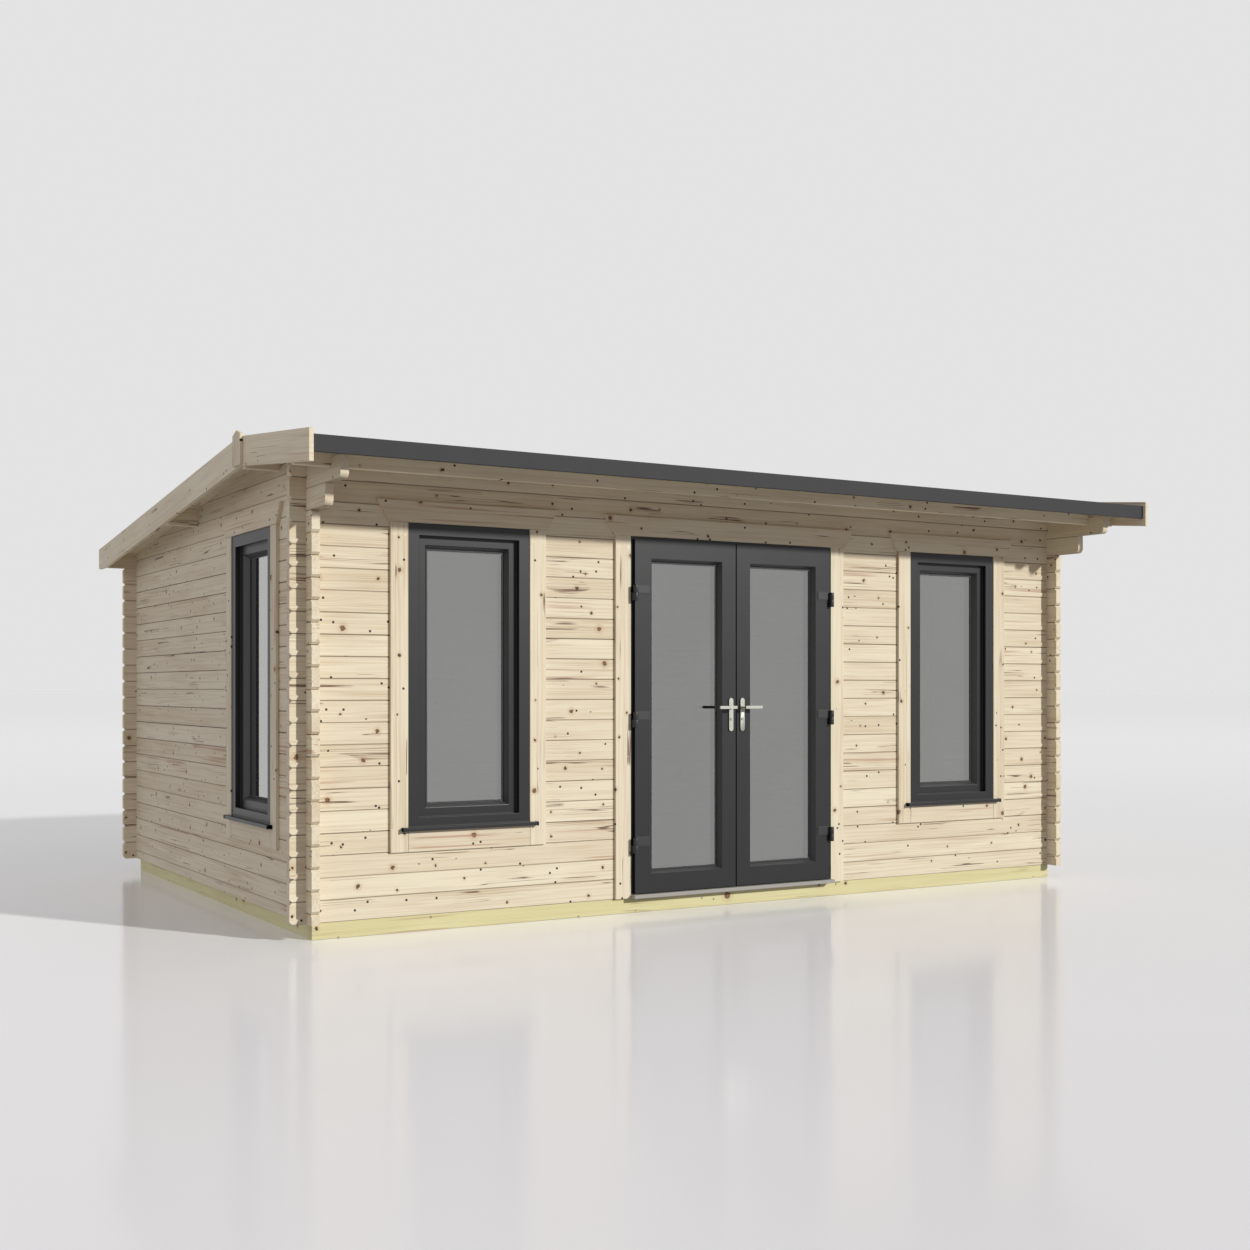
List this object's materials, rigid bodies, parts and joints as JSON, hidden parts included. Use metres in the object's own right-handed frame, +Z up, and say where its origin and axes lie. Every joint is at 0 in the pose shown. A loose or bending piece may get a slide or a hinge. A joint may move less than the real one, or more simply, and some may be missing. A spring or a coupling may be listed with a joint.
{
  "type": "garden office pod",
  "caption": "Log-built garden office pod with a shallow pitched roof on purlins and stepped corbels, glazed double doors with lever handles, and tall side-lit windows.",
  "frame": {"origin": "on the ground, under the middle of the roof's outline", "axes": "+X along the front wall to the right as seen from the front, +Y from the front to the rear, +Z up"},
  "size_m": [5.752, 4.465, 2.651],
  "materials": {
    "bearer_wood": "green-treated softwood",
    "floor_wood": "planed spruce boards",
    "log_wood": "untreated planed spruce with knots",
    "beam_wood": "untreated planed spruce",
    "roof_wood": "planed spruce boards",
    "barge_wood": "untreated planed spruce",
    "roof_covering": "matte charcoal sheet",
    "fascia": "satin dark grey",
    "trim_wood": "untreated planed spruce",
    "dark_frame": "dark grey, fine satin",
    "leaf_frame": "dark grey, fine satin",
    "window_glass": "clear",
    "door_glass": "clear",
    "threshold_metal": "satin",
    "hinge_metal": "satin black",
    "handle_metal": "polished"
  },
  "bodies": {
    "house": {"long_bearers": "bearer_wood", "cross_bearers": "bearer_wood", "floor_boards": "floor_wood", "front_wall_left": "log_wood", "front_wall_right": "log_wood", "front_wall_over_door": "log_wood", "left_wall": "log_wood", "right_wall": "log_wood", "rear_wall": "log_wood", "left_corbels": "log_wood", "right_corbels": "log_wood", "front_eave_purlin": "beam_wood", "ridge_purlin": "beam_wood", "middle_purlin": "beam_wood", "rear_eave_purlin": "beam_wood", "front_roof_boards": "roof_wood", "rear_roof_boards": "roof_wood", "left_barge_boards": "barge_wood", "right_barge_boards": "barge_wood", "ridge_finials": "barge_wood", "front_roof_covering": "roof_covering", "rear_roof_covering": "roof_covering", "front_fascia": "fascia", "rear_fascia": "fascia", "front_window_trims": "trim_wood", "side_window_trims": "trim_wood", "door_side_trims": "trim_wood", "door_head_trim": "trim_wood", "front_window_frames": "dark_frame", "side_window_frames": "dark_frame", "door_jambs": "dark_frame", "door_head": "dark_frame", "front_window_glass": "window_glass", "side_window_glass": "window_glass", "door_threshold": "threshold_metal", "door_hinge_brackets": "hinge_metal"},
    "left_door": {"left_door_leaf": "leaf_frame", "left_door_glass": "door_glass", "left_door_hinge_flags": "hinge_metal", "left_door_handle_plates": "handle_metal"},
    "right_door": {"right_door_leaf": "leaf_frame", "right_door_glass": "door_glass", "right_door_hinge_flags": "hinge_metal", "right_door_handle_plates": "handle_metal"},
    "left_lever": {"left_door_lever": "handle_metal"},
    "right_lever": {"right_door_lever": "handle_metal"}
  },
  "joints": [
    {"name": "left_door_hinge", "type": "hinge", "parent": "house", "child": "left_door", "pos_m": [-0.708, -1.6325, 1.13], "axis": [0, 0, -1], "range_deg": [0, 100]},
    {"name": "right_door_hinge", "type": "hinge", "parent": "house", "child": "right_door", "pos_m": [0.708, -1.6325, 1.13], "axis": [0, 0, 1], "range_deg": [0, 100]},
    {"name": "left_lever_turn", "type": "hinge", "parent": "left_door", "child": "left_lever", "pos_m": [-0.041, -1.5825, 1.177], "axis": [0, -1, 0], "range_deg": [0, 40], "stiffness_Nm_per_rad": 1.2, "springref_deg": -34.38},
    {"name": "right_lever_turn", "type": "hinge", "parent": "right_door", "child": "right_lever", "pos_m": [0.041, -1.5825, 1.177], "axis": [0, 1, 0], "range_deg": [0, 40], "stiffness_Nm_per_rad": 1.2, "springref_deg": -34.38}
  ]
}
